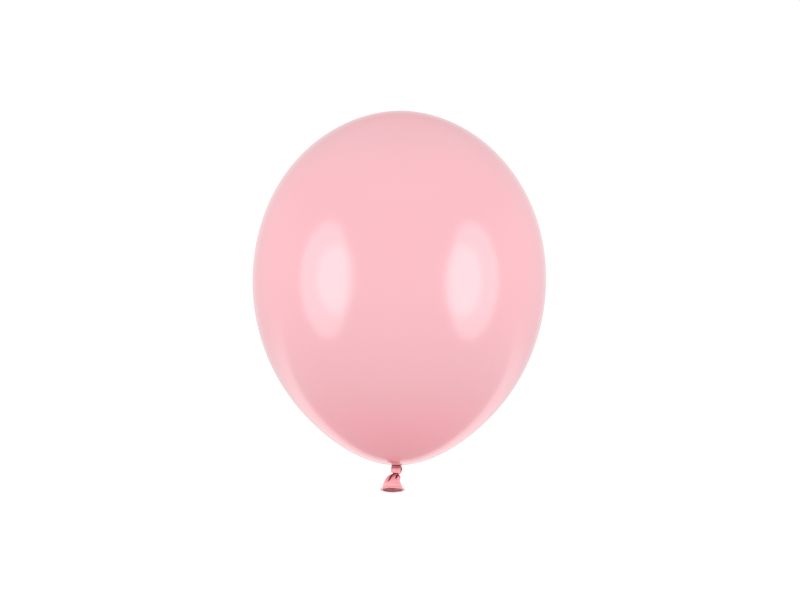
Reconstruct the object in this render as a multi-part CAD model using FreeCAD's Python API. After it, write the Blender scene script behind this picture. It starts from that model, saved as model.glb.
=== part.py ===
"""A round party balloon of natural rubber latex, blown up and tied off in its own neck.

Millimetres, +Z up. The origin is the tie point: the middle of the soft throat between the blown-up envelope
and the knot, on the balloon's own axis. The envelope stands above it, the knot and the open tail hang below.
+X is the side that the knot's crossing strand lies on, and the tail's mouth faces down and a little to -Y.

The real balloon is one dipped skin. It is drawn here as the stretches that differ in shape and that bend
against each other: envelope, throat, the three strands of the knot, tail gather, tail skirt and rolled rim.
Soft necks that bend are balls in spherical seats, so that each tilts about its centre with room to move.
"""

import FreeCAD, Part
import math
import os

Vec = FreeCAD.Vector

# --- driving dimensions -------------------------------------------------------------------------------
WIDEST_RADIUS = 149.8  # envelope radius before the egg terms below, which leave it 150 at its widest
HALF_HEIGHT = 181.1  # half of the envelope's height
EGG_TERMS = (1.0, 0.0475, -0.022, 0.048, -0.075)  # how the radius leaves an ellipse, in powers of height
SKIN = 0.4  # drawn wall of the blown-up skin, far thicker than real latex
TAIL_SKIN = 0.45  # drawn wall of the relaxed skin in the tail
POLE_Z = 1.0  # height of the envelope's bottom pole over the tie point

GAP = 0.3  # room between a ball and its seat
THROAT_RADIUS = 3.0
THROAT_HALF_LENGTH = 2.6
LIP_Z = 1.1  # underside of the envelope's lip round the throat
LIP_RADIUS = 5.0
LIP_WIDTH = 1.0  # from the lip's outer edge to where its inside meets the thin skin
SEAT_TOP_Z = 2.4

KNOT_MIDDLE_Z = -3.9
CORE_RADIUS = 3.2
CORE_TOP_Z = -1.6
WRAP_PATH_RADIUS = 4.2  # from the axis to the middle of the wrap's flattened section
WRAP_HALF_THICKNESS = 1.4
WRAP_HALF_HEIGHT = 2.9
TUCK_STRAND_RADIUS = 1.0
TUCK_BULGE = 0.8  # how far the crossing strand bows out between its ends
TUCK_TOP = 1.3  # its upper end, over the middle of the knot
TUCK_BOTTOM = -2.2
TUCK_INSET = 0.9  # its ends, inside the wrap's outer face
TUCK_ANGLE = -20.0  # degrees round from +X, towards the front

TAIL_PIVOT = Vec(-0.6, 0, -8.0)
GATHER_RADIUS = 3.3
GATHER_HALF_LENGTH = 2.9
TAIL_TILT = 17.5  # degrees that the tail's mouth leans to -Y
MOUTH_RADIUS = 9.6  # inside the land that the rim is rolled round
MOUTH_SHIFT = -3.2  # how far the mouth hangs to the side of the pivot
LAND_START = 13.2  # along the tail, from its pivot
LAND_END = 17.0
RIM_AT = 16.0
RIM_HALF_WIDTH = 1.3  # the rolled bead is flattened along the tail
RIM_HALF_HEIGHT = 0.8
RIM_OVERLAP = 0.1  # how far the bead's section reaches inside the land, where it is cut to seat on it

# Skirt sections along the tail, from its pivot: (distance, side shift, outer radius)
SKIRT = (
    (2.3, 0.0, 3.8),
    (3.8, -0.9, 5.4),
    (6.2, -2.1, 7.0),
    (9.6, -2.9, 8.4),
    (LAND_START, MOUTH_SHIFT, MOUTH_RADIUS + TAIL_SKIN),
)
POCKET_TOP = (3.1, -0.4, 4.1)  # the skirt's inner section nearest to the pivot, before its wall is taken off
PROFILE_POINTS = 25


def on_axis(z):
    return Vec(0, 0, z)


def ball(centre, radius):
    return Part.makeSphere(radius, centre)


def shortened_ball(radius, half_length):
    """A ball at the origin with its two ends cut flat."""
    slab = Part.makeCylinder(radius + 1, 2 * half_length, on_axis(-half_length))
    return ball(Vec(0, 0, 0), radius).common(slab)


def egg_point(latitude, inset):
    """A point of the envelope's outline in the XZ plane, inset from the outer skin."""
    height = math.sin(latitude)
    egg = sum(term * height**power for power, term in enumerate(EGG_TERMS))
    radius = (WIDEST_RADIUS - inset) * math.cos(latitude) * egg
    middle = POLE_Z + HALF_HEIGHT
    return Vec(radius, 0, middle + (HALF_HEIGHT - inset) * height)


def latitude_of(radius, inset):
    """The southern latitude at which the outline has that radius."""
    low, high = -math.pi / 2, 0.0
    while high - low > 1e-9:
        middle = (low + high) / 2
        if egg_point(middle, inset).x < radius:
            low = middle
        else:
            high = middle
    return low


def egg_curve(start_radius, inset):
    """The outline from a small radius near the bottom pole up to the crown."""
    first = latitude_of(start_radius, inset)
    step = (math.pi / 2 - first) / (PROFILE_POINTS - 1)
    points = [egg_point(first + i * step, inset) for i in range(PROFILE_POINTS)]
    points[-1].x = 0
    curve = Part.BSplineCurve()
    curve.interpolate(points)
    return curve.toShape(), points[0], points[-1]


def turned(edges):
    """The closed outline turned once round the Z axis."""
    face = Part.Face(Part.Wire(Part.__sortEdges__(edges)))
    return face.revolve(on_axis(0), on_axis(1), 360)


def seat_point(radius, z):
    return Vec(math.sqrt(radius**2 - z**2), 0, z)


def envelope():
    """The blown-up skin: a closed egg, open only at the lip that the throat's ball sits in."""
    outer, outer_start, outer_crown = egg_curve(LIP_RADIUS, 0)
    inner, inner_start, inner_crown = egg_curve(LIP_RADIUS + LIP_WIDTH, SKIN)
    seat = THROAT_RADIUS + GAP
    low, high = seat_point(seat, LIP_Z), seat_point(seat, SEAT_TOP_Z)
    middle = seat_point(seat, (LIP_Z + SEAT_TOP_Z) / 2)
    edges = [
        outer,
        Part.LineSegment(outer_start, low).toShape(),
        Part.Arc(low, middle, high).toShape(),
        Part.LineSegment(high, inner_start).toShape(),
        inner,
        Part.LineSegment(inner_crown, outer_crown).toShape(),
    ]
    return turned(edges)


def neck_throat():
    """The short soft neck that the knot hangs from."""
    return shortened_ball(THROAT_RADIUS, THROAT_HALF_LENGTH)


def seats():
    """The two spherical hollows in the knot, for the throat and for the tail's gather."""
    return ball(on_axis(0), THROAT_RADIUS + GAP).fuse(ball(TAIL_PIVOT, GATHER_RADIUS + GAP))


def core_column(low, high):
    """The column that the bunched neck fills, between two heights."""
    return Part.makeCylinder(CORE_RADIUS, high - low, on_axis(low))


def knot_core():
    """The bunched neck that runs down through the knot."""
    return core_column(KNOT_MIDDLE_Z - WRAP_HALF_HEIGHT, CORE_TOP_Z).cut(seats())


def wrap_ring():
    """The flattened turn of neck round the knot, before it is fitted to its neighbours."""
    middle = Vec(WRAP_PATH_RADIUS, 0, KNOT_MIDDLE_Z)
    high = middle + Vec(0, 0, WRAP_HALF_HEIGHT)
    side = middle + Vec(WRAP_HALF_THICKNESS, 0, 0)
    return turned([Part.Ellipse(high, side, middle).toShape()])


def round_the_core(shape):
    """Cuts away what the core and the two seats take up."""
    reach = 2 * WRAP_HALF_HEIGHT
    return shape.cut(core_column(KNOT_MIDDLE_Z - reach, KNOT_MIDDLE_Z + reach)).cut(seats())


def knot_wrap():
    return round_the_core(wrap_ring())


def knot_tuck():
    """The strand that crosses over the wrap before it passes under it and down into the tail."""
    outside = WRAP_PATH_RADIUS + WRAP_HALF_THICKNESS - TUCK_INSET
    top = Vec(outside, 0, KNOT_MIDDLE_Z + TUCK_TOP)
    middle = Vec(outside + TUCK_BULGE, 0, KNOT_MIDDLE_Z)
    bottom = Vec(outside, 0, KNOT_MIDDLE_Z + TUCK_BOTTOM)
    path = Part.Wire(Part.Arc(top, middle, bottom).toShape())
    along = path.Edges[0].tangentAt(path.Edges[0].FirstParameter)
    section = Part.Wire(Part.Circle(top, along, TUCK_STRAND_RADIUS).toShape())
    strand = path.makePipeShell([section], True, True)
    for end in (top, bottom):
        strand = strand.fuse(ball(end, TUCK_STRAND_RADIUS))
    strand = round_the_core(strand.removeSplitter().cut(wrap_ring()))
    strand.rotate(on_axis(0), on_axis(1), TUCK_ANGLE)
    return strand


def on_tail(shape):
    """Moves a shape drawn with the tail running down the Z axis from the origin to where the tail is."""
    shape.rotate(on_axis(0), Vec(1, 0, 0), -TAIL_TILT)
    shape.translate(TAIL_PIVOT)
    return shape


def tail_gather():
    """The pleated root of the tail, where it leaves the knot."""
    return on_tail(shortened_ball(GATHER_RADIUS, GATHER_HALF_LENGTH))


def skirt_body(inset, sections, end):
    """The skirt's flare and its straight land as one solid, inset from the outer skin."""
    rings = [
        Part.Wire(Part.Circle(Vec(shift, 0, -along), on_axis(1), radius - inset).toShape())
        for along, shift, radius in sections
    ]
    land = Part.makeCylinder(
        MOUTH_RADIUS + TAIL_SKIN - inset,
        end - LAND_START,
        Vec(MOUTH_SHIFT, 0, -end),
    )
    return Part.makeLoft(rings, True).fuse(land)


def tail_skirt():
    """The relaxed neck that flares from the knot to the open mouth."""
    outer = skirt_body(0, SKIRT, LAND_END)
    hollow = skirt_body(TAIL_SKIN, (POCKET_TOP,) + SKIRT[1:], LAND_END + 1)
    seat = ball(on_axis(0), GATHER_RADIUS + GAP)
    return on_tail(outer.cut(hollow).cut(seat))


def rolled_rim():
    """The bead that the mouth's edge is rolled into, round the outside of the land."""
    land_radius = MOUTH_RADIUS + TAIL_SKIN
    middle = Vec(land_radius + RIM_HALF_WIDTH - RIM_OVERLAP, 0, 0)
    section = Part.Ellipse(middle + Vec(RIM_HALF_WIDTH, 0, 0), middle + Vec(0, 0, RIM_HALF_HEIGHT), middle)
    bead = turned([section.toShape()]).Solids[0]
    land = Part.makeCylinder(land_radius, 4 * RIM_HALF_HEIGHT, on_axis(-2 * RIM_HALF_HEIGHT))
    bead = bead.cut(land)
    bead.translate(Vec(MOUTH_SHIFT, 0, -RIM_AT))
    return on_tail(bead)


PARTS = (envelope, neck_throat, knot_core, knot_wrap, knot_tuck, tail_gather, tail_skirt, rolled_rim)

os.makedirs("parts", exist_ok=True)
for make in PARTS:
    solid = make().Solids
    if len(solid) != 1 or not solid[0].isValid():
        raise SystemExit(f"{make.__name__} is not one valid solid: {len(solid)}")
    solid[0].exportStep(f"parts/{make.__name__}.step")
    box = solid[0].BoundBox
    print(f"{make.__name__}: {solid[0].Volume:.1f} mm3, z {box.ZMin:.2f} to {box.ZMax:.2f}")
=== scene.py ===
import math
import random

import bpy
from mathutils import Euler, Matrix, Vector, noise


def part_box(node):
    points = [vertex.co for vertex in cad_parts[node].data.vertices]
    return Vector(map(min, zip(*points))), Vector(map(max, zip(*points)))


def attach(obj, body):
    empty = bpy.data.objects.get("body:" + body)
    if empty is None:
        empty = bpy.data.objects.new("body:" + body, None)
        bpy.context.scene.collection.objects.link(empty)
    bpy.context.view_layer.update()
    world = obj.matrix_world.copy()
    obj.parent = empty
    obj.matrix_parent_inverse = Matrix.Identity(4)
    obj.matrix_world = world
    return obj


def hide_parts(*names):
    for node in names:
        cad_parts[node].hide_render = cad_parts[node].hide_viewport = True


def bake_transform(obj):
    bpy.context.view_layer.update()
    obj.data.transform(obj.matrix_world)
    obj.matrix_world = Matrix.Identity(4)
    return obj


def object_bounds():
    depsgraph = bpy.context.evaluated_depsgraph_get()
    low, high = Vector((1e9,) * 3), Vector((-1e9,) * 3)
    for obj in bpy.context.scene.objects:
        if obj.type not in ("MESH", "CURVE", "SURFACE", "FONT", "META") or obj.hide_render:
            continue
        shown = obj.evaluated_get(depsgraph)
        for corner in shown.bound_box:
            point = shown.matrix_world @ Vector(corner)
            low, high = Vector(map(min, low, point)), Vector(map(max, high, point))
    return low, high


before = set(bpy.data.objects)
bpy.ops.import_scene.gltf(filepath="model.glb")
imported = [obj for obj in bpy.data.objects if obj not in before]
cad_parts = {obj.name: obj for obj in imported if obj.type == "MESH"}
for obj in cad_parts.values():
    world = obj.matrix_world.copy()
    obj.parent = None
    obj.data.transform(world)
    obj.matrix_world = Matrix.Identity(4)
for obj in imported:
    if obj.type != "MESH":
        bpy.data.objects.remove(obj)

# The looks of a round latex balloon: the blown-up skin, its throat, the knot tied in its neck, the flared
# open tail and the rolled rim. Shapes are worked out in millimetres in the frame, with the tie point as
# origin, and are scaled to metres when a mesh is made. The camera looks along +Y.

MM = 0.001
cad_low, cad_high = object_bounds()

# --- sizes, mm ----------------------------------------------------------------------------------------
skin_low, skin_high = (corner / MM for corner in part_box("envelope"))
WIDEST = (skin_high.x - skin_low.x) / 2 - 0.2  # radius before the egg terms, which add the rest
POLE_Z = 1.0  # bottom pole of the blown-up egg
HALF_HEIGHT = (skin_high.z - POLE_Z) / 2
EGG_TERMS = (1.0, 0.0475, -0.022, 0.048, -0.075)  # how the radius leaves an ellipse, in powers of height
SKIN = 0.4
TAIL_SKIN = 0.35
CROWN_RING = 1.2  # radius of the last ring before the crown's point
UNEVENNESS = 0.35  # how far the blown-up skin strays from a perfect egg
PUCKER = 0.9  # depth of the puckers round the throat
STREAK = 0.10  # depth of the fine streaks that run out from them

FUNNEL_RADIUS = 15.0  # where the skin starts to turn down into the throat
FUNNEL_EGG = 0.905  # about how much narrower than an ellipse the egg is there
FUNNEL_DROP = 1.5
FUNNEL_POWER = 14  # how late it turns down
THROAT_RADIUS = 2.8
SKIN_END_Z = -0.6

# Depth under the tie point and radius of the pinched neck, which bunches into a frill over the knot.
THROAT_ROWS = (
    (-1.2, 2.9),
    (-0.7, 4.6),
    (-0.2, 5.5),
    (0.3, 5.6),
    (0.8, 5.1),
    (1.4, 4.3),
    (2.4, 3.2),
    (3.6, 2.8),
)

# The bunched neck inside the knot.
CORE_TOP_Z = -2.6
CORE_LENGTH = 5.0
CORE_RADIUS = 3.5
PLEAT_DEPTH = 0.22  # how deep the gathered neck is folded, as a share of its radius

TAIL_PIVOT = Vector((-0.6, 0.0, -8.0))
TAIL_TILT = math.radians(17.5)  # how far the tail's mouth leans to the front
RIM_AT = 16.2
RIM_HALF_WIDTH = 1.3
RIM_HALF_HEIGHT = 0.65
RIM_WOBBLE = 0.2  # how far the bead strays from a flat circle
RIM_SWELL = 0.10  # how unevenly thick it is
CLOSING_LINE = math.radians(160)  # where round the bead's section its roll closes
CLOSING_DEPTH = 0.22  # how deep that line is, as a share of the bead's size
CLOSING_SPREAD = 0.2  # how wide it is, in radians

# The tail's outline: distance from its pivot, side shift and outer radius.
TAIL_SECTIONS = (
    (-2.4, 0.7, 2.6),
    (-1.0, 0.5, 3.2),
    (0.2, 0.0, 4.0),
    (1.2, -1.0, 5.0),
    (2.2, -1.7, 5.9),
    (4.1, -2.4, 7.0),
    (6.2, -3.0, 7.6),
    (8.3, -3.3, 8.4),
    (10.4, -3.3, 9.1),
    (12.4, -3.1, 9.8),
    (13.9, -3.05, 10.3),
    (15.1, -3.0, 10.8),
    (RIM_AT, -3.0, 11.25),
)
SEAM_AT = 2.4  # where the tail's skin takes over from its pleated root
SEAM_OVERLAP = 0.8  # how far the root runs on inside the skin
ROOT_INSET = 0.45  # how far under the skin's outside it runs there
TAIL_PLEAT_DEPTH = 0.24  # as a share of the tail's radius
TAIL_RIPPLE = 0.20  # how far the flared skin strays from its outline
ROOT_SKIN = 0.8  # how far the hollow under the root is from its outside

# Creases of the tail, straight as seen from the front or the back: where each starts and ends along the
# tail, how far it is to the side of the pivot at both ends, 1 for the front or -1 for the back, its depth
# (negative for a ridge) and its half width.
CREASES = (
    (-1.6, 11.4, -2.1, -8.9, 1, 2.7, 1.1),
    (1.0, 6.8, 2.5, -0.2, 1, 2.4, 0.9),
    (0.8, 7.2, 2.7, 3.7, 1, -1.0, 0.9),
    (1.2, 6.6, 4.2, 4.9, 1, -0.9, 1.1),
    (2.4, 7.0, 4.0, 3.5, 1, 2.3, 0.5),
    (-1.5, 7.0, 2.6, 4.0, -1, 1.7, 0.7),
    (-2.0, 5.0, 1.2, 0.2, -1, 1.3, 0.65),
    (-1.8, 8.0, -1.6, -5.4, -1, 1.9, 0.75),
    (-1.0, 5.5, -3.3, -7.4, -1, 1.4, 0.7),
)


# --- meshes -------------------------------------------------------------------------------------------
def mesh_piece(name, rings, looped=False, sharp_angle=50):
    """A closed mesh through rings of points. Its ends close to a point each, or to each other if looped."""
    count = len(rings[0])
    points = [point * MM for ring in rings for point in ring]
    faces = []
    pairs = len(rings) if looped else len(rings) - 1
    for i in range(pairs):
        low, high = i * count, (i + 1) % len(rings) * count
        for j in range(count):
            k = (j + 1) % count
            faces.append((low + j, low + k, high + k, high + j))
    if not looped:
        for ring_start, ring, turned in ((0, rings[0], True), (len(points) - count, rings[-1], False)):
            pole = len(points)
            points.append(sum(ring, Vector()) / count * MM)
            for j in range(count):
                a = ring_start + j
                b = ring_start + (j + 1) % count
                faces.append((b, a, pole) if turned else (a, b, pole))
    mesh = bpy.data.meshes.new(name)
    mesh.from_pydata(points, [], faces)
    mesh.validate()
    mesh.shade_smooth()
    piece = bpy.data.objects.new(name, mesh)
    bpy.context.scene.collection.objects.link(piece)
    if signed_volume(mesh) < 0:
        mesh.flip_normals()
    mesh.set_sharp_from_angle(angle=math.radians(sharp_angle))
    return piece


def signed_volume(mesh):
    total = 0.0
    for face in mesh.polygons:
        corners = [mesh.vertices[i].co for i in face.vertices]
        for a, b in zip(corners[1:], corners[2:]):
            total += corners[0].dot(a.cross(b))
    return total


def catmull(rows, at):
    """Rows of numbers whose first column rises, read smoothly at a value of that column."""
    last = len(rows) - 1
    i = 0
    while i < last - 1 and rows[i + 1][0] < at:
        i += 1
    before, a, b, after = rows[max(i - 1, 0)], rows[i], rows[i + 1], rows[min(i + 2, last)]
    span = b[0] - a[0]
    t = min(max((at - a[0]) / span, 0.0), 1.0)
    values = []
    for column in range(1, len(a)):
        slope_a = (b[column] - before[column]) / max(b[0] - before[0], 1e-9) * span
        slope_b = (after[column] - a[column]) / max(after[0] - a[0], 1e-9) * span
        p, q = a[column], b[column]
        values.append(
            (2 * t**3 - 3 * t**2 + 1) * p
            + (t**3 - 2 * t**2 + t) * slope_a
            + (3 * t**2 - 2 * t**3) * q
            + (t**3 - t**2) * slope_b
        )
    return values


def smooth(value, low, high):
    """0 before low, 1 after high, and a smooth rise between."""
    t = min(max((value - low) / (high - low), 0.0), 1.0)
    return t * t * (3 - 2 * t)


def spread(count, low, high):
    return [low + (high - low) * i / (count - 1) for i in range(count)]


def gathers(angle, waves, seed):
    """Rounded ridges with narrow valleys round a gathered neck, from -1 in a valley to 0 on a ridge."""
    phases = random.Random(seed)
    total = 0.0
    for count in waves:
        half_turns = count * angle / 2 + phases.uniform(0, math.tau)
        total += math.sqrt(math.sin(half_turns) ** 2 + 0.03) - 1
    return total / len(waves)


# --- the blown-up skin --------------------------------------------------------------------------------
SKIN_SEGMENTS = 216


def egg_point(latitude, inset):
    """Radius and height of the skin's outline at a latitude."""
    height = math.sin(latitude)
    egg = sum(term * height**power for power, term in enumerate(EGG_TERMS))
    radius = (WIDEST - inset) * math.cos(latitude) * egg
    return radius, POLE_Z + HALF_HEIGHT + (HALF_HEIGHT - inset) * height


def funnel_point(radius, inset):
    """The underside near the throat: the egg's bottom, turned down into the neck."""
    low, high = -math.pi / 2, 0.0
    for _ in range(40):
        middle = (low + high) / 2
        if egg_point(middle, inset)[0] < radius:
            low = middle
        else:
            high = middle
    turn = (FUNNEL_RADIUS - radius) / (FUNNEL_RADIUS - THROAT_RADIUS)
    return radius, egg_point(low, inset)[1] - FUNNEL_DROP * max(turn, 0.0) ** FUNNEL_POWER


def skin_outline(inset, turns):
    """The outline from the crown to the throat, as pairs of radius and height."""
    start = math.acos(CROWN_RING / WIDEST)
    end = -math.acos(FUNNEL_RADIUS / WIDEST / FUNNEL_EGG)
    outline = [egg_point(latitude, inset) for latitude in spread(turns, start, end)]
    ends_at = outline[-1][0]
    throat = THROAT_RADIUS - inset
    for t in spread(turns // 3, 0.0, 1.0)[1:]:
        outline.append(funnel_point(ends_at + (throat - ends_at) * t**0.8, inset))
    return outline


def skin_point(radius, z, angle):
    """One point of the skin, with its faint unevenness and its puckers round the throat."""
    direction = Vector((math.cos(angle), math.sin(angle), 0))
    point = direction * radius + Vector((0, 0, z))
    uneven = UNEVENNESS * noise.noise(point * 0.011 + Vector((3.1, 7.7, 1.3)))
    away = radius / 10
    pucker = PUCKER * gathers(angle, (13, 17, 22), 4) * math.exp(-(away**1.6)) * smooth(radius, 1.0, 3.0)
    streak = STREAK * gathers(angle, (31, 43), 9) * math.exp(-radius / 16) * smooth(radius, 3.0, 6.0)
    out = direction * smooth(radius, 30.0, 90.0)
    lift = Vector((0, 0, -1)) * (pucker + streak) * smooth(radius, 3.0, 5.5)
    pinch = direction * pucker * 0.55 * (1 - smooth(radius, 3.2, 7.0))
    return point + out * uneven + lift + pinch


def envelope_skin():
    outer = skin_outline(0.0, 150)
    inner = skin_outline(SKIN, 60)
    neck = [(THROAT_RADIUS - 0.05, SKIN_END_Z - 0.15), (THROAT_RADIUS - SKIN, SKIN_END_Z - 0.1)]
    outline = outer + neck + inner[::-1]
    angles = [math.tau * j / SKIN_SEGMENTS for j in range(SKIN_SEGMENTS)]
    rings = [[skin_point(radius, z, angle) for angle in angles] for radius, z in outline]
    return mesh_piece("envelope_skin", rings)


def gathered_ring(segments, radius, z, twist, waves, seed):
    """A level ring of the gathered neck, with its pleats turned by a twist."""
    ring = []
    for j in range(segments):
        angle = math.tau * j / segments
        fold = gathers(angle + twist, waves, seed)
        ring.append(Vector((math.cos(angle), math.sin(angle), 0)) * radius * (1 + PLEAT_DEPTH * fold))
        ring[-1].z = z
    return ring


def throat_gather():
    """The pinched neck between the skin and the knot, with its twisted pleats."""
    rings = []
    for depth in spread(48, THROAT_ROWS[0][0], THROAT_ROWS[-1][0]):
        radius = catmull(THROAT_ROWS, depth)[0]
        rings.append(gathered_ring(144, radius, -depth, 0.12 * depth, (7, 11), 4))
    return mesh_piece("throat_gather", rings)


# --- the knot -----------------------------------------------------------------------------------------
def boxy(value, power):
    """A sine or cosine with its round shape squared off by a power under 1."""
    return math.copysign(abs(value) ** power, value)


def strand(name, rows, folds, seed, segments=96, steps=150, power=0.55):
    """A flattened, rolled-up strand of neck. Each row is (place along it, x, y, z, half thickness outwards,
    half height, twist in degrees); folds are how many ridges run along it and how deep they are."""
    rings = []
    places = [catmull(rows, t) for t in spread(steps, rows[0][0], rows[-1][0])]
    path = [Vector(place[:3]) for place in places]
    waves, depth = folds
    for i, middle in enumerate(path):
        along = (path[min(i + 1, steps - 1)] - path[max(i - 1, 0)]).normalized()
        outward = Vector((middle.x, middle.y, 0))
        outward = (outward - along * outward.dot(along)).normalized()
        across = along.cross(outward)
        thick, tall, twist = places[i][3:]
        ring = []
        for j in range(segments):
            angle = math.tau * j / segments
            fold = 1 + depth * gathers(angle + math.radians(twist), waves, seed)
            bumpy = 1 + 0.05 * noise.noise(Vector((math.cos(angle), math.sin(angle), i * 0.035 + seed)))
            out = outward * thick * boxy(math.cos(angle), power)
            up = across * tall * boxy(math.sin(angle), power)
            ring.append(middle + (out + up) * fold * bumpy)
        rings.append(ring)
    return mesh_piece(name, rings)


def round_knot(turn, radius, z):
    """A place round the knot's axis, with 0 turns at the front and the turn going towards +X."""
    angle = math.tau * (turn - 0.25)
    return radius * math.cos(angle), radius * math.sin(angle), z


def knot_collar_wrap():
    """The band of neck wound once round the knot: it starts behind, crosses the front and dives under."""
    rows = (
        (0.0, *round_knot(-0.62, 1.9, -3.2), 0.5, 0.7, 0),
        (0.5, *round_knot(-0.53, 2.9, -3.3), 1.1, 1.5, 10),
        (1.1, *round_knot(-0.42, 3.8, -3.5), 1.4, 2.5, 20),
        (2.0, *round_knot(-0.26, 4.1, -3.6), 1.5, 3.1, 35),
        (3.0, *round_knot(-0.10, 4.1, -3.75), 1.5, 3.1, 50),
        (4.0, *round_knot(0.06, 4.1, -3.85), 1.5, 3.1, 65),
        (5.0, *round_knot(0.20, 4.0, -3.9), 1.5, 3.4, 80),
        (6.0, *round_knot(0.33, 3.9, -4.6), 1.45, 2.7, 100),
        (6.8, *round_knot(0.44, 3.5, -5.0), 1.3, 2.0, 120),
        (7.5, *round_knot(0.54, 2.7, -5.3), 1.0, 1.3, 135),
        (8.0, *round_knot(0.62, 1.9, -5.5), 0.5, 0.6, 150),
    )
    return strand("knot_collar_wrap", rows, ((3, 5, 9), 0.2), 11, steps=260)


def knot_tuck_strand():
    """The turn that bulges on the right and goes down under the collar into the tail."""
    rows = (
        (0.0, *round_knot(0.36, 3.4, -1.9), 0.4, 0.5, 0),
        (0.6, *round_knot(0.31, 4.5, -2.1), 1.0, 1.2, 20),
        (1.4, *round_knot(0.24, 5.0, -3.0), 1.3, 1.6, 45),
        (2.2, *round_knot(0.19, 5.0, -4.6), 1.3, 1.7, 70),
        (3.0, *round_knot(0.15, 4.4, -6.1), 1.2, 1.4, 95),
        (3.7, *round_knot(0.11, 3.5, -6.9), 1.0, 1.0, 115),
        (4.3, *round_knot(0.08, 2.4, -7.2), 0.5, 0.6, 130),
    )
    return strand("knot_tuck_strand", rows, ((2, 4), 0.15), 5, segments=72)


def knot_core_folds():
    """The bunched neck that runs down through the knot, seen between the turns."""
    rings = []
    for t in spread(60, 0.0, 1.0):
        radius = CORE_RADIUS * math.sqrt(max(1 - abs(2 * t - 1) ** 4, 0.03))
        rings.append(gathered_ring(120, radius, CORE_TOP_Z - CORE_LENGTH * t, 1.3 * t, (6, 9), 21))
    return mesh_piece("knot_core_folds", rings)


# --- the tail -----------------------------------------------------------------------------------------
TAIL_SEGMENTS = 288
tail_place = Matrix.Translation(TAIL_PIVOT) @ Matrix.Rotation(-TAIL_TILT, 4, "X")


def crease_depth(angle, along, shift, radius):
    """How far the tail's skin is folded in at an angle round it, in mm."""
    depth = 0.0
    for start, end, first, last, facing, deepest, half_width in CREASES:
        if not start < along < end:
            continue
        t = (along - start) / (end - start)
        side = (first + (last - first) * t - shift) / radius
        middle = facing * (math.asin(min(max(side, -0.98), 0.98)) - math.pi / 2)
        off = (angle - middle + math.pi) % math.tau - math.pi
        width = half_width * (0.65 + 0.7 * t)
        strength = smooth(t, 0.0, 0.12) * (1 - smooth(t, 0.45, 1.0))
        depth += deepest * strength * math.exp(-abs(off * radius / width) ** 3)
    return depth


def tail_point(angle, along, inset):
    """A point of the tail's skin, inset from its outside."""
    shift, radius = catmull(TAIL_SECTIONS, along)
    pleats = TAIL_PLEAT_DEPTH * gathers(angle, (7, 10), 17) * (1 - smooth(along, -1.0, 7.0))
    ripple = TAIL_RIPPLE * noise.noise(Vector((math.cos(angle) * 1.6, math.sin(angle) * 1.6, along * 0.22)))
    ripple *= smooth(along, 3.0, 8.0) * (1 - smooth(along, 13.0, 15.0))
    depth = min(crease_depth(angle, along, shift, radius), radius * 0.6)
    reach = radius * (1 + pleats) + ripple - depth - inset
    return Vector((shift + reach * math.cos(angle), reach * math.sin(angle), -along))


def tail_ring(along, inset):
    angles = (math.tau * j / TAIL_SEGMENTS for j in range(TAIL_SEGMENTS))
    return [tail_place @ tail_point(angle, along, inset) for angle in angles]


def tail_root_pleats():
    """The gathered root of the tail, from inside the knot to just under the tail's skin, hollow below."""
    start, end = TAIL_SECTIONS[0][0], SEAM_AT + SEAM_OVERLAP
    rings = []
    for along in spread(60, start, end):
        rings.append(tail_ring(along, ROOT_INSET * smooth(along, SEAM_AT, SEAM_AT + 0.3)))
    rings += [tail_ring(along, ROOT_SKIN) for along in spread(14, end, 0.9)]
    return mesh_piece("tail_root_pleats", rings)


def tail_skin():
    """The relaxed skin that flares to the mouth, as a thin wall that the bead closes."""
    rings = [tail_ring(along, 0.0) for along in spread(120, SEAM_AT, RIM_AT)]
    rings += [tail_ring(along, TAIL_SKIN) for along in spread(90, RIM_AT, SEAM_AT)]
    return mesh_piece("tail_skin", rings, looped=True)


def rolled_rim():
    """The flattened bead that the mouth's edge is rolled into, with the line where the roll closes."""
    shift, path_radius = catmull(TAIL_SECTIONS, RIM_AT)
    rings = []
    for i in range(240):
        turn = math.tau * i / 240
        outward = Vector((math.cos(turn), math.sin(turn), 0))
        wobble = RIM_WOBBLE * noise.noise(Vector((outward.x * 1.3, outward.y * 1.3, 4.2)))
        swell = 1 + RIM_SWELL * noise.noise(Vector((outward.x * 3.1, outward.y * 3.1, 9.0)))
        middle = Vector((shift, 0, -RIM_AT)) + outward * (path_radius + wobble)
        middle.z += wobble
        ring = []
        for j in range(48):
            angle = math.tau * j / 48
            off = (angle - CLOSING_LINE + math.pi) % math.tau - math.pi
            reach = swell * (1 - CLOSING_DEPTH * math.exp(-((off / CLOSING_SPREAD) ** 2)))
            wide = outward * RIM_HALF_WIDTH * math.cos(angle)
            high = Vector((0, 0, RIM_HALF_HEIGHT * math.sin(angle)))
            ring.append(tail_place @ (middle + (wide + high) * reach))
        rings.append(ring)
    return mesh_piece("rolled_rim_bead", rings, looped=True, sharp_angle=180)


# --- materials ----------------------------------------------------------------------------------------
def reading(tree, source, low, high, to_low, to_high):
    """A value read smoothly from one range into another."""
    read = tree.nodes.new("ShaderNodeMapRange")
    read.interpolation_type = "SMOOTHSTEP"
    for socket, value in zip(read.inputs[1:5], (low, high, to_low, to_high)):
        socket.default_value = value
    tree.links.new(source, read.inputs["Value"])
    return read.outputs["Result"]


def combined(tree, operation, first, second):
    """Two values put together, where the second may be a plain number."""
    both = tree.nodes.new("ShaderNodeMath")
    both.operation = operation
    tree.links.new(first, both.inputs[0])
    if isinstance(second, float):
        both.inputs[1].default_value = second
    else:
        tree.links.new(second, both.inputs[1])
    return both.outputs["Value"]


PAINTED_FOLD_SHADE = (0.36, 0.028, 0.046)  # painted shade: the dark red-brown mixed into the colour down in folds, crevices and the tail's mouth, standing in for the shade there
GRAIN_HEIGHT = 0.00004  # m
LATEX_IOR = 1.52


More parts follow.
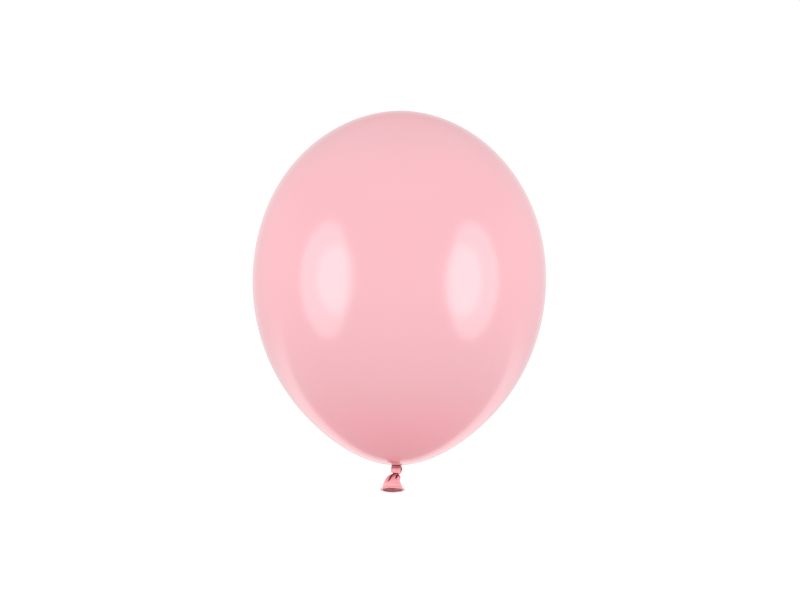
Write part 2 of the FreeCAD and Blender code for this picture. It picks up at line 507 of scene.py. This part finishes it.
def latex(name, pale, deep, roughness, gloss, grain, fold_reach):
    """Dipped latex: cloudy thickness, faint flow streaks along the former and a fine powdery grain. It is
    deeper towards the neck and the crown, with painted shade darkest in folds that are closer together than
    fold_reach."""
    material = bpy.data.materials.new(name)
    material.use_nodes = True
    tree = material.node_tree
    nodes, links = tree.nodes, tree.links
    shader = nodes["Principled BSDF"]
    place = nodes.new("ShaderNodeTexCoord")

    def noise_map(scale, detail, stretch=(1, 1, 1)):
        spot = nodes.new("ShaderNodeMapping")
        spot.inputs["Scale"].default_value = stretch
        cloud = nodes.new("ShaderNodeTexNoise")
        cloud.inputs["Scale"].default_value = scale
        cloud.inputs["Detail"].default_value = detail
        links.new(place.outputs["Object"], spot.inputs["Vector"])
        links.new(spot.outputs["Vector"], cloud.inputs["Vector"])
        return cloud.outputs["Fac"]

    height = nodes.new("ShaderNodeSeparateXYZ")
    links.new(place.outputs["Object"], height.inputs["Vector"])
    depth = reading(tree, height.outputs["Z"], -0.01, 0.11, 0.85, 0.0)  # deeper at the neck
    for more in (
        reading(tree, height.outputs["Z"], 0.33, 0.363, 0.0, 0.35),  # and at the crown
        reading(tree, noise_map(14, 3), 0.2, 0.8, 0.02, 0.10),  # clouds
        reading(tree, noise_map(70, 2, (1, 1, 0.07)), 0.25, 0.75, 0.0, 0.05),  # flow streaks
        reading(tree, noise_map(1300, 1), 0.68, 0.8, 0.0, 0.10),  # specks
    ):
        depth = combined(tree, "ADD", depth, more)

    tint = nodes.new("ShaderNodeMix")
    tint.data_type = "RGBA"
    tint.inputs["A"].default_value = (*pale, 1)
    tint.inputs["B"].default_value = (*deep, 1)
    links.new(depth, tint.inputs["Factor"])

    # Painted shade: where an ambient-occlusion reading finds other surfaces within fold_reach, the fold
    # colour is mixed into the base colour. This darkens crevices, creases and the inside of the tail's
    # mouth.
    folds = nodes.new("ShaderNodeAmbientOcclusion")
    folds.samples = 8
    folds.inputs["Distance"].default_value = fold_reach
    shade = nodes.new("ShaderNodeMix")
    shade.data_type = "RGBA"
    shade.inputs["B"].default_value = (*PAINTED_FOLD_SHADE, 1)
    links.new(reading(tree, folds.outputs["AO"], 0.28, 0.81, 1.0, 0.0), shade.inputs["Factor"])
    links.new(tint.outputs["Result"], shade.inputs["A"])
    links.new(shade.outputs["Result"], shader.inputs["Base Color"])

    rough = reading(tree, noise_map(9, 1), 0.0, 1.0, roughness - 0.01, roughness + 0.01)
    links.new(rough, shader.inputs["Roughness"])

    bump = nodes.new("ShaderNodeBump")
    bump.inputs["Strength"].default_value = grain
    bump.inputs["Distance"].default_value = GRAIN_HEIGHT
    links.new(noise_map(1600, 3), bump.inputs["Height"])
    links.new(bump.outputs["Normal"], shader.inputs["Normal"])

    shader.inputs["IOR"].default_value = LATEX_IOR
    shader.inputs["Specular IOR Level"].default_value = gloss
    return material


# The last number of each is how far its painted fold shade reaches, in metres.
stretched = latex("stretched_latex", (0.745, 0.40, 0.44), (0.92, 0.33, 0.38), 0.16, 0.6, 0.10, 0.003)
relaxed = latex("relaxed_latex", (0.90, 0.53, 0.55), (0.88, 0.445, 0.465), 0.42, 0.3, 0.35, 0.030)
rolled = latex("rolled_latex", (0.90, 0.51, 0.53), (0.88, 0.40, 0.43), 0.36, 0.35, 0.25, 0.030)


def dressed(piece, material, slot, *nodes):
    piece.data.materials.append(material)
    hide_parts(*nodes)
    return piece


skin = dressed(envelope_skin(), stretched, "stretched_latex", "envelope")
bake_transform(skin)

throat = dressed(throat_gather(), relaxed, "relaxed_latex", "neck_throat")
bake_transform(throat)

for make, node in (
    (knot_core_folds, "knot_core"),
    (knot_collar_wrap, "knot_wrap"),
    (knot_tuck_strand, "knot_tuck"),
):
    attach(dressed(make(), relaxed, "relaxed_latex", node), "knot")

root = dressed(tail_root_pleats(), relaxed, "relaxed_latex", "tail_gather")
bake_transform(root)

tail = dressed(tail_skin(), relaxed, "relaxed_latex", "tail_skirt")
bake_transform(tail)

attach(dressed(rolled_rim(), rolled, "rolled_latex", "rolled_rim"), "tail")


# --- floor, light and camera --------------------------------------------------------------------------
FILL = 0.70  # the even light from all round
GLOW = 0.8  # what the white sweep low behind the balloon adds
SWEEP_EDGE = 1.15  # where it starts: this far back for each metre down
BACKDROP = 0.2  # what the white backdrop adds straight behind
TOP_LIGHT = 0.45  # what the ceiling adds straight above
SEEN_AIR = (0.78, 1.1)  # what the camera sees of the studio, round itself and behind the balloon
FLOOR_RADIUS = 1.5
FLOOR_Z = -0.45
CAMERA_AT = (0.001, -2.272, 0.170)
CAMERA_LENS = 100  # mm, on a sensor 36 mm wide
CAMERA_ROLL = -0.92  # degrees

# The two pairs of soft boxes beside the camera, of which the second gives each highlight its bright core:
# name, azimuth, elevation, distance, size and watts.
SOFT_BOXES = (
    ("box", 58, 1, 1.5, (1.15, 1.65), 10.2),
    ("box_core", 48, 0.5, 1.49, (0.8, 0.95), 3.7),
)


def floor():
    """A plain pale disc that lights nothing, far below the balloon."""
    ring = []
    for turn in range(96):
        angle = math.tau * turn / 96
        ring.append((FLOOR_RADIUS * math.cos(angle), FLOOR_RADIUS * math.sin(angle), FLOOR_Z))
    mesh = bpy.data.meshes.new("floor")
    mesh.from_pydata(ring, [], [tuple(range(len(ring)))])
    disc = bpy.data.objects.new("floor", mesh)
    bpy.context.scene.collection.objects.link(disc)
    paint = bpy.data.materials.new("floor_paint")
    paint.use_nodes = True
    shader = paint.node_tree.nodes["Principled BSDF"]
    shader.inputs["Base Color"].default_value = (0.9, 0.9, 0.9, 1)
    shader.inputs["Roughness"].default_value = 0.9
    mesh.materials.append(paint)
    disc.visible_diffuse = False
    disc.visible_glossy = False


def soft_box(name, azimuth, elevation, distance, size, watts):
    """An elliptical light that faces the middle of the balloon. Azimuth 0 is at the camera."""
    lamp = bpy.data.lights.new(name, "AREA")
    lamp.shape = "ELLIPSE"
    lamp.size, lamp.size_y = size
    lamp.energy = watts
    box = bpy.data.objects.new(name, lamp)
    a, e = math.radians(azimuth), math.radians(elevation)
    toward = Vector((math.sin(a) * math.cos(e), -math.cos(a) * math.cos(e), math.sin(e)))
    box.location = middle + toward * distance
    box.rotation_euler = toward.to_track_quat("Z", "Y").to_euler()
    box.visible_camera = False
    bpy.context.scene.collection.objects.link(box)


def studio_air():
    """A backdrop that is white behind the balloon and pale grey round the camera, and the light on the
    balloon: even from all round, with some more from straight above and a white glow low behind."""
    world = bpy.data.worlds.new("studio")
    bpy.context.scene.world = world
    world.use_nodes = True
    tree = world.node_tree
    nodes, links = tree.nodes, tree.links

    def air(strength):
        background = nodes.new("ShaderNodeBackground")
        background.inputs["Color"].default_value = (1, 1, 1, 1)
        links.new(strength, background.inputs["Strength"])
        return background.outputs["Background"]

    direction = nodes.new("ShaderNodeTexCoord")
    split = nodes.new("ShaderNodeSeparateXYZ")
    links.new(direction.outputs["Generated"], split.inputs["Vector"])
    back, up = split.outputs["Y"], split.outputs["Z"]
    slanted = combined(tree, "ADD", combined(tree, "MULTIPLY", up, SWEEP_EDGE), back)
    sweep = reading(tree, slanted, -0.02, 0.06, 0.0, GLOW)
    low = reading(tree, up, -0.5, -0.15, 1.0, 0.0)
    strength = reading(tree, up, 0.5, 1.0, FILL, FILL + TOP_LIGHT)
    for more in (
        combined(tree, "MULTIPLY", low, sweep),
        reading(tree, back, 0.8, 0.98, 0.0, BACKDROP),
    ):
        strength = combined(tree, "ADD", strength, more)

    path = nodes.new("ShaderNodeLightPath")
    mix = nodes.new("ShaderNodeMixShader")
    links.new(path.outputs["Is Camera Ray"], mix.inputs["Fac"])
    links.new(air(strength), mix.inputs[1])
    links.new(air(reading(tree, back, 0.2, 0.8, *SEEN_AIR)), mix.inputs[2])
    links.new(mix.outputs["Shader"], nodes["World Output"].inputs["Surface"])


def camera():
    lens = bpy.data.cameras.new("camera")
    lens.lens = CAMERA_LENS
    lens.sensor_width = 36
    eye = bpy.data.objects.new("camera", lens)
    eye.location = CAMERA_AT
    eye.rotation_euler = Euler((math.radians(90), math.radians(CAMERA_ROLL), 0), "XYZ")
    bpy.context.scene.collection.objects.link(eye)
    bpy.context.scene.camera = eye


middle = Vector((0, 0, (cad_low.z + cad_high.z) / 2))
floor()
studio_air()
for side, side_name in ((-1, "left"), (1, "right")):
    for name, azimuth, *rest in SOFT_BOXES:
        soft_box(f"{side_name}_{name}", side * azimuth, *rest)
camera()
bpy.context.scene.view_settings.view_transform = "Standard"
